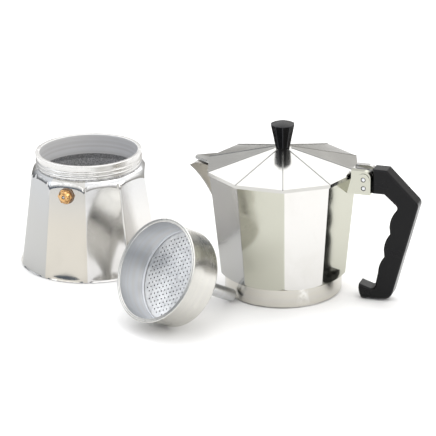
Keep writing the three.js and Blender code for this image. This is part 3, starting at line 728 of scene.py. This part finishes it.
def flat_radius(angle, z):
    """Radius of the wall at a compass angle: a soft-cornered decagon that fades to a circle at the foot."""
    corner = FOOT_RADIUS - (FOOT_RADIUS - TOP_CORNER) / FACET_TOP * z
    share = min(1, max(FLAT_START, z / FACET_TOP)) ** FLAT_GROWTH
    middles = [FLAT_ANGLE + 2 * k * HALF_STEP for k in range(SIDES)]
    facing = [max(1e-6, math.cos(angle - m)) for m in middles]
    softest = sum(f**EDGE_SHARPNESS for f in facing) ** (1 / EDGE_SHARPNESS)
    return corner * (1 - share * (1 - math.cos(HALF_STEP) / softest))


def dome_radius(z):
    """Radius of the turned shoulder at height z."""
    drop = min(1, max(0, (SHOULDER_TOP - z) / SHOULDER_ROUND))
    tilt = math.acos(1 - drop)
    if tilt <= STEEPEST_DOME:
        reach = SHOULDER_ROUND * math.sin(tilt)
    else:
        cone_top = SHOULDER_TOP - SHOULDER_ROUND * (1 - math.cos(STEEPEST_DOME))
        reach = SHOULDER_ROUND * math.sin(STEEPEST_DOME) + (cone_top - z) / math.tan(STEEPEST_DOME)
    return NECK_ROOT - DOME_INSET + reach


def arch_height(angle):
    """Where the wall meets the shoulder on this compass angle."""
    low, high = FACET_TOP - 12, SHOULDER_TOP
    for _ in range(30):
        middle = (low + high) / 2
        if dome_radius(middle) > flat_radius(angle, middle):
            low = middle
        else:
            high = middle
    return low


print("arch from", round(arch_height(EDGE_ANGLE), 1), "to", round(arch_height(FLAT_ANGLE), 1), "mm")

# %% [markdown]
# The rows of the wall share out the height up to the arch, the rows of the dome share out the rest.
# The columns crowd towards the ten edges, so that each edge gets its narrow round. Just under the
# arch a narrow groove sets the dome off from the flats.

# %% Rows of the boiler
COLUMNS = 16
WALL_FOOT = 0.5
WALL_LEVELS = (0.35, 0.9, 2, 4, 7, 12, 20, 28, 36, 44, 52, 60, 66, 70)
GROOVE = ((0.984, 0), (0.987, 0), (0.99, 0.22), (0.995, 0.22), (1.0, 0))
DOME_SHARES = (0.03, 0.1, 0.2, 0.35, 0.5, 0.65, 0.8, 0.92, 1.0)
THREAD_END = RIM_TOP - 2.3
THREAD_ROW = 0.2
THREAD_HALF = 0.95
RIM_BAND = 1.5
BORE_END = 70.5
INNER_LEVELS = (66, 58, 48, 38, 28, 18, 12, 8, 6.4)
INNER_FLARE = 1.4
WALL = 3
FLOOR_TOP = 3.5


def boiler_profile():
    """Rows of (kind, radius or depth, level): foot, outside, rim, bore and down to the inner floor."""
    rim = [
        (NECK_ROOT, RIM_TOP - RIM_BAND - 0.7), (NECK_ROOT, RIM_TOP - RIM_BAND),
        (NECK_CREST, RIM_TOP - RIM_BAND), (NECK_CREST, RIM_TOP),
        (NECK_BORE, RIM_TOP), (NECK_BORE, RIM_TOP - 4),
    ]
    rows = [("fixed", r, 0) for r in (0, 20, FOOT_RADIUS - 1.2)] + [("foot", 0.25, 0.12)]
    rows += [("wall", 0, level / WALL_LEVELS[-1]) for level in WALL_LEVELS]
    rows += [("wall", depth, share) for share, depth in GROOVE]
    rows += [("dome", 0, share) for share in DOME_SHARES]
    height = SHOULDER_TOP + 0.25
    while height < THREAD_END:
        rows.append(("thread", 0, height))
        height += THREAD_ROW
    rows += [("fixed", r, z) for r, z in rounded(rim, 0.35)]
    rows += [("fixed", NECK_BORE, z) for z in (80, 76, 72, BORE_END)]
    rows += [("inner", 0, z) for z in INNER_LEVELS]
    rows += [("fixed", FOOT_RADIUS - 4.6, 4.6), ("fixed", FOOT_RADIUS - 6.4, 3.7)]
    return rows + [("fixed", r, FLOOR_TOP) for r in (40, 30, 15, 0)]


def crowded(angle):
    """Moves a column towards the nearest of the ten edges."""
    from_edge = (angle - EDGE_ANGLE + HALF_STEP) % (2 * HALF_STEP) - HALF_STEP
    share = from_edge / HALF_STEP
    return angle - from_edge + HALF_STEP * share * abs(share) ** 1.3


def thread_radius(level, angle):
    """The neck's radius, with the thread's ridge standing out where it passes this point."""
    turns = (level - THREAD_START) / THREAD_PITCH - (angle - EDGE_ANGLE) / (2 * math.pi)
    nearest = min(max(0, round(turns)), THREAD_TURNS - 1)
    away = abs(turns - nearest) * THREAD_PITCH
    return NECK_ROOT + (NECK_CREST - NECK_ROOT) * max(0, 1 - away / THREAD_HALF) ** 0.8


def pressed(kind, radius, level, angle):
    """The (radius, height) of one point of the boiler on its compass angle."""
    if kind == "foot":
        return FOOT_RADIUS - radius, level
    if kind == "wall":
        z = WALL_FOOT + level * (arch_height(angle) - WALL_FOOT)
        return flat_radius(angle, z) - radius, z
    if kind == "dome":
        low = arch_height(angle)
        z = low + level * (SHOULDER_TOP + 0.1 - low)
        return max(NECK_ROOT, dome_radius(z)), z
    if kind == "inner":
        return min(flat_radius(FLAT_ANGLE, level) - WALL, NECK_BORE + (BORE_END - level) * INNER_FLARE), level
    if kind == "thread":
        return thread_radius(level, angle), level
    return radius, level


print("rows", len(boiler_profile()), "columns", SIDES * COLUMNS)


# %% [markdown]
# Spinning a straight spine first, and pressing its points afterwards, gives clean rows and columns
# all round. Each point keeps its row's number in a layer, so the press knows what it belongs to.


# %% Spin and press the boiler
TURNED, CAST, BORE = 1, 2, 3


def boiler_region(middle):
    """Polished outside, turned neck, cast inside and turned bore."""
    reach = math.hypot(middle.x, middle.y)
    if reach < NECK_BORE + 0.1 and middle.z > 70:
        return BORE
    if middle.z > SHOULDER_TOP:
        return TURNED
    outside = middle.z < FLOOR_TOP - 0.1 or reach > flat_radius(FLAT_ANGLE, middle.z) - 2
    return 0 if outside else CAST


rows = boiler_profile()
boiler_mesh = bmesh.new()
row_of = boiler_mesh.verts.layers.int.new("row")
spine = [boiler_mesh.verts.new((0.001 + n * MM, 0, 0)) for n in range(len(rows))]
for n, vert in enumerate(spine):
    vert[row_of] = n
spine_edges = [boiler_mesh.edges.new(pair) for pair in zip(spine, spine[1:])]
bmesh.ops.spin(
    boiler_mesh, geom=spine + spine_edges, cent=(0, 0, 0), axis=(0, 0, 1), angle=2 * math.pi,
    steps=SIDES * COLUMNS, use_merge=True,
)
for vert in boiler_mesh.verts:
    angle = crowded(math.atan2(vert.co.y, vert.co.x))
    radius, z = pressed(*rows[vert[row_of]], angle)
    vert.co = Vector((radius * math.cos(angle), radius * math.sin(angle), z)) * MM
for face in boiler_mesh.faces:
    face.material_index = boiler_region(face.calc_center_median() / MM)
show(
    boiler_mesh, "boiler_cast", "boiler_set", "boiler",
    [boiler_polish, turned_neck, cast_floor, neck_bore], smooth_under=15,
)

# %% [markdown]
# ## The safety valve
# A brass hexagon with a domed nose, screwed into one facet over a fibre washer, with a spring-loaded
# steel pin inside. The hexagon and nose are a refined copy; the small turned parts are spun in the
# valve's own frame, which leans with the facet, so that each profile is drawn upright.

# %% Valve frame and turned parts
VALVE_LEAN = math.radians(8.4188)
VALVE_TURN = math.radians(-108)
VALVE_HEIGHT = 63.7
VALVE_RADIUS = 43.1056


def framed(origin, turn, rise):
    """Places a piece made along +Z so that it points to a compass turn and a rise."""
    tilt = Matrix.Rotation(turn, 4, "Z") @ Matrix.Rotation(math.pi / 2 - rise, 4, "Y")
    return Matrix.Translation(Vector(origin) * MM) @ tilt


valve_place = framed(
    (VALVE_RADIUS * math.cos(VALVE_TURN), VALVE_RADIUS * math.sin(VALVE_TURN), VALVE_HEIGHT),
    VALVE_TURN, VALVE_LEAN,
)
refined("valve_body", "valve_nut", "boiler_set", [brass], 0.35, 3)
washer = turned_ring(inner=4.3, outer=6, low=0.3, high=0.9, soft=0.15, steps=48)
show(washer, "valve_fibre_washer", "boiler_set", "valve_washer", [fibre], place=valve_place)
seat = turned_ring(inner=1.5, outer=2.3, low=-5.3, high=-4.3, soft=0.15, steps=40)
show(seat, "valve_seat", "boiler_set", "valve_seat_ring", [brass], place=valve_place)
pin_profile = rounded([(0, -4), (2.15, -4), (2.15, -3), (0.95, -3), (0.95, 5.5), (0, 5.5)], 0.25)
show(spun(pin_profile, 32), "valve_pin", "valve_plunger", "valve_stem", [steel],
     place=valve_place)


# %% [markdown]
# The spring is round wire wound four times. A curve with a bevel would do as well, but a small disc
# that is spun while it rises stays a mesh, with both ends closed.


# %% Valve spring
def spring(coil_radius, wire, low, high, turns, steps):
    """A small disc of the wire's radius, spun about the axis while it rises."""
    bm = bmesh.new()
    ring = bmesh.ops.create_circle(bm, cap_ends=True, segments=10, radius=wire * MM)["verts"]
    bmesh.ops.rotate(bm, verts=ring, cent=(0, 0, 0), matrix=Matrix.Rotation(math.pi / 2, 3, "X"))
    bmesh.ops.translate(bm, verts=ring, vec=(coil_radius * MM, 0, low * MM))
    face = bm.faces[:]
    bmesh.ops.spin(
        bm, geom=ring + bm.edges[:] + face, cent=(0, 0, 0), axis=(0, 0, 1), angle=2 * math.pi * turns,
        dvec=(0, 0, (high - low) * MM / steps), steps=steps, use_merge=False,
    )
    return bm


coil = spring(coil_radius=1.775, wire=0.28, low=-2.42, high=3.62, turns=4, steps=96)
show(coil, "valve_coil", "boiler_set", "valve_spring", [steel], place=valve_place)

# %% [markdown]
# ## The funnel
# The funnel is spun from thin sheet: a rolled rim with a double line, a straight cup, a rounded
# bottom edge, a shallow cone and a sleeve that grips the stem. Its frame has +Z out of the mouth.

# %% Funnel frame, cup and stem
FUNNEL_TURN = math.radians(-137.7)
FUNNEL_RISE = math.radians(29.098)
FUNNEL_PLACE = (74.4664, -118.968, 29.7313)
funnel_place = framed(FUNNEL_PLACE, FUNNEL_TURN, FUNNEL_RISE)
funnel_frame = (Vector(FUNNEL_PLACE) * MM, funnel_place.to_euler())
spun_sheet = turned_aluminium("spun sheet", *funnel_frame, (0.64, 0.63, 0.59), 0.2, 0.000003)
# The inside is rougher than the outside, and its bluish tint is a painted reflection of cool surroundings.
sheet_inside_cool_reflection = turned_aluminium("spun sheet inside cool reflection", *funnel_frame, (0.62, 0.64, 0.67), 0.34, 0.00003)
stem_sheet = turned_aluminium("stem tube", *funnel_frame, (0.66, 0.67, 0.68), 0.24, 0.00001)
LIP_LEVEL = 26.6
BOTTOM_ROUND = 2
SLEEVE_BOTTOM = -12


def cup_profile():
    """Sleeve, cone, rounded bottom edge, wall, rolled rim, then the inside with the sieve's seat."""
    middle = Vector((32.85, BOTTOM_ROUND))
    turns = [math.radians(a) for a in range(14, 91, 12)]
    edge = [(middle.x + BOTTOM_ROUND * math.sin(a), middle.y - BOTTOM_ROUND * math.cos(a)) for a in turns]
    outer = [(5.94, SLEEVE_BOTTOM), (5.94, -7), (9, -6.2), *edge, (35.05, 12), (35.32, 25.6)]
    rim = [
        (36.9, 25.9), (37.3, 26.5), (37.1, 27.15), (36.3, 27.3), (35.7, 27.05), (35.2, 27.3),
        (34.6, 27.2), (34.38, LIP_LEVEL),
    ]
    bead = [(34.2, 18), (34.0, 8), (33.95, 5.0), (33.4, 4.8), (32.9, 4.2), (33.0, 3.7)]
    seat = [(33.86, 3.6), (33.86, 2.4), (31.86, 2.4), (31.86, 1.0)]
    return outer + rim + bead + seat + [(9, -5), (4.94, -5.7), (4.94, SLEEVE_BOTTOM)]


cup = spun(rounded(cup_profile(), 0.35, 2, closed=True), 144, True)
for face in cup.faces:
    middle = face.calc_center_median() / MM
    inside = 1 < middle.z < LIP_LEVEL + 0.2 and math.hypot(middle.x, middle.y) < 34.7
    face.material_index = 1 if inside else 0
show(cup, "funnel_basket", "funnel_set", "funnel_cup", [spun_sheet, sheet_inside_cool_reflection],
     smooth_under=40, place=funnel_place)
stem_profile = [(3.64, -52.8), (4.1, -52.8), (4.64, -51.9), (4.64, -7), (3.64, -7)]
show(spun(rounded(stem_profile, 0.12, closed=True), 64, True), "funnel_tube", "funnel_set", "funnel_stem",
     [stem_sheet], place=funnel_place)

# %% [markdown]
# The sieve is a disc with rows of small holes. Instead of cutting each hole with a boolean, the disc
# outline and all the hole outlines are drawn as edges, filled once, and pushed to a thickness.


# %% Sieve plates
def hole_rows(limit, pitch):
    """Places of the holes, in staggered rows. The middle of the plate, where it is turned, has none."""
    places = []
    reach = int(limit / pitch) + 1
    for i in range(-reach, reach + 1):
        for j in range(-reach, reach + 1):
            x = (i + j / 2) * pitch
            y = j * pitch * math.sqrt(3) / 2
            if 0 < math.hypot(x, y) < limit:
                places.append((x, y))
    return places


def perforated(radius, low, thick, hole, pitch, limit):
    bm = bmesh.new()
    bmesh.ops.create_circle(bm, segments=120, radius=radius * MM)
    places = hole_rows(limit, pitch)
    for x, y in places:
        middle = Matrix.Translation((x * MM, y * MM, 0))
        bmesh.ops.create_circle(bm, segments=8, radius=hole * MM, matrix=middle)
    bmesh.ops.triangle_fill(bm, edges=bm.edges, use_beauty=True, use_dissolve=False)
    top = bmesh.ops.extrude_face_region(bm, geom=bm.faces[:])["geom"]
    moved = [v for v in top if isinstance(v, bmesh.types.BMVert)]
    bmesh.ops.translate(bm, verts=moved, vec=(0, 0, thick * MM))
    bmesh.ops.translate(bm, verts=bm.verts, vec=(0, 0, low * MM))
    print("holes", len(places))
    return bm


sieve_sheet = turned_aluminium("sieve sheet", *funnel_frame, (0.8, 0.8, 0.8), 0.3, 0.00003)
sieve = perforated(radius=33.5, low=2.7, thick=0.8, hole=0.58, pitch=3.35, limit=30.4)
show(sieve, "funnel_strainer", "funnel_set", "funnel_sieve", [sieve_sheet],
     smooth_under=30, place=funnel_place)

# %% [markdown]
# ## The pot
# The pot is cast with its spout and its hinge bracket, and its facets are flat, so the CAD shape is
# kept and only refined. Its collar is turned and its chamber is left as cast, so faces are sorted by
# where they lie.


# %% Pot, column and seals
COLLAR_REACH = 44
COLLAR_TOP = 19
CHAMBER_REACH = 52
CHAMBER_FLOOR = 20
CHAMBER_TOP = 91
LEVEL_FACE = 0.6


def pot_region(middle, normal):
    """Polished wall, turned collar below it, or the chamber that is left as cast."""
    across = (middle - POT_AXIS).xy
    inwards = across.length > 1 and normal.xy.dot(across) < 0
    if across.length < COLLAR_REACH and middle.z < COLLAR_TOP:
        return TURNED
    inside = across.length < CHAMBER_REACH and CHAMBER_FLOOR < middle.z < CHAMBER_TOP
    return CAST if inside and (inwards or normal.z > LEVEL_FACE) else 0


chamber = cast_inside("cast chamber", (0.62, 0.61, 0.6), (0.4, 0.4, 0.39))
refined("pot_body", "pot_cast", "pot_set", [pot_polish, turned_collar, chamber],
        bevel=0.35, angle=26, pick=pot_region, corner=rubbed_corner)
refined("column", "pot_column", "pot_set", [turned_collar], bevel=0.3)
pot_place = Matrix.Translation(POT_PLACE)
seal = turned_ring(30, 36.7, *levels("gasket"), soft=0.6, steps=96)
show(seal, "pot_seal", "pot_set", "gasket", [silicone], place=pot_place)
filter_sheet = turned_aluminium("filter sheet", POT_PLACE, tint=(0.78, 0.78, 0.77), rough=0.3, depth=0.00003)
filter_low, filter_top = levels("filter_plate")
filter_disc = perforated(35.4, filter_low, filter_top - filter_low, hole=0.7, pitch=3.6, limit=27.5)
show(filter_disc, "pot_filter", "pot_set", "filter_plate", [filter_sheet],
     smooth_under=30, place=pot_place)


# %% [markdown]
# Two steel pins go across the bracket: the lid turns on the upper one, and the lower one holds the
# handle. Each is spun upright, laid across, and turned with the pot. Its level comes from the frame.


# %% Pins of the hinge and the handle
PIN_RADIUS = 1.5
PIN_EASE = 0.4
PIN_REACH = 62.5


def cross_pin(half_length, height):
    """A pin with eased ends across the bracket, first turned upright and then laid down."""
    face = PIN_RADIUS - 0.3
    side = half_length - PIN_EASE
    outline = [(0, -half_length), (face, -half_length), (PIN_RADIUS, -side), (PIN_RADIUS, side),
               (face, half_length), (0, half_length)]
    bm = spun(rounded(outline, 0.15), 40)
    bmesh.ops.rotate(bm, verts=bm.verts, cent=(0, 0, 0), matrix=Matrix.Rotation(math.pi / 2, 3, "X"))
    bmesh.ops.translate(bm, verts=bm.verts, vec=(PIN_REACH * MM, 0, height * MM))
    return bm


turned_pot = pot_place @ Matrix.Rotation(-HALF_STEP, 4, "Z")
for node, name, half_length in (("hinge_pin", "hinge_rivet", 9.6), ("handle_pin", "handle_rivet", 9)):
    pin = cross_pin(half_length, sum(levels(node)) / 2)
    show(pin, name, "pot_set", node, [steel], place=turned_pot)

# %% [markdown]
# ## Handle, lid and knob
# These are cast or moulded with flat faces, so they are refined copies. Each ridge of the lid gets a
# narrow raised rib: the ridge is bevelled to a strip, and the strip is inset and lifted. The ribs
# are rougher than the faces and darker with painted shade, so each shows as a thin line between two
# bright facets.

# %% Handle and lid
refined("handle", "grip", "pot_set", [plastic], bevel=0.45, segments=3, angle=24,
        corner=plastic_corner)
RIDGE_INNER = 8
RIDGE_OUTER = 40
LID_RIM = 93
RIB_HALF = 0.45
RIB_EDGE = 0.12
RIB_RISE = 0.3
SMALLEST_STRIP = 10 * MM * MM


def lid_region(middle, normal):
    return 1 if normal.z < -0.3 else 0


def lid_ribs(bm):
    """A narrow raised rib along every ridge of the lid, as the casting has."""
    ridges = []
    for edge in bm.edges:
        ends = [v.co / MM - POT_AXIS for v in edge.verts]
        inner, outer = sorted(end.xy.length for end in ends)
        if inner < RIDGE_INNER and outer > RIDGE_OUTER and min(end.z for end in ends) > LID_RIM:
            ridges.append(edge)
    made = bmesh.ops.bevel(
        bm, geom=ridges, offset=RIB_HALF * MM, offset_type="OFFSET", affect="EDGES", segments=1,
        profile=0.5, material=-1, clamp_overlap=True,
    )
    strips = [f for f in made["faces"] if f.calc_area() > SMALLEST_STRIP]
    inset = bmesh.ops.inset_individual(bm, faces=strips, thickness=RIB_EDGE * MM, depth=RIB_RISE * MM)
    print("ridges", len(ridges), "ribs", len(strips))
    return strips + inset["faces"]


lid_under = turned_aluminium("lid underside", POT_PLACE, tint=(0.74, 0.73, 0.71), rough=0.34, depth=0.00004)
refined("lid", "lid_cast", "lid_set", [lid_polish, lid_under, rib_painted_shade], bevel=0.3,
        angle=24, pick=lid_region, detail=lid_ribs)

# %% [markdown]
# ## What holds the knob
# The knob is moulded round a brass bush. A screw comes up through the lid from below, over a thin
# washer. These turned parts are hidden, but an open lid shows the screw's head with its slot.

# %% Knob, bush and washer
refined("lid_knob", "knob", "lid_set", [plastic], bevel=0.45, segments=3, angle=12,
        corner=plastic_corner)
bush = turned_ring(2.2, 2.8, *levels("knob_insert"), soft=0.1, steps=40)
show(bush, "knob_bush", "lid_set", "knob_insert", [brass], place=pot_place)
washer = turned_ring(2.2, 4.6, *levels("knob_washer"), soft=0.15, steps=48)
show(washer, "knob_ring", "lid_set", "knob_washer", [steel], place=pot_place)

# %% [markdown]
# The slot is cut without a boolean: two planes divide the head on both sides of the slot, and the
# faces between them are pushed into the metal.


# %% Knob screw with its slot
HEAD_HEIGHT = 2
HEAD_RADIUS = 3.6
SHANK_RADIUS = 1.9
SLOT_HALF = 0.45
SLOT_DEPTH = 0.84


def slotted_screw():
    low, tip = levels("knob_screw")
    seat = low + HEAD_HEIGHT
    head = [(0, low), (2.3, low), (3.2, low + 0.44), (HEAD_RADIUS, low + 1.24), (HEAD_RADIUS, seat)]
    shank = [(SHANK_RADIUS, seat), (SHANK_RADIUS, tip - 0.46), (SHANK_RADIUS - 0.5, tip), (0, tip)]
    bm = spun(rounded(head + shank, 0.2), 48)
    for side in (-SLOT_HALF, SLOT_HALF):
        geometry = bm.verts[:] + bm.edges[:] + bm.faces[:]
        bmesh.ops.bisect_plane(bm, geom=geometry, dist=1e-8, plane_co=(side * MM, 0, 0), plane_no=(1, 0, 0))
    middles = [(face, face.calc_center_median() / MM) for face in bm.faces]
    slot = [face for face, middle in middles if abs(middle.x) < SLOT_HALF and middle.z < low + 0.54]
    deeper = bmesh.ops.extrude_face_region(bm, geom=slot)["geom"]
    bmesh.ops.delete(bm, geom=slot, context="FACES")
    for vert in (v for v in deeper if isinstance(v, bmesh.types.BMVert)):
        vert.co.z = (low + SLOT_DEPTH) * MM
    return bm


show(slotted_screw(), "knob_bolt", "lid_set", "knob_screw", [steel], place=pot_place)
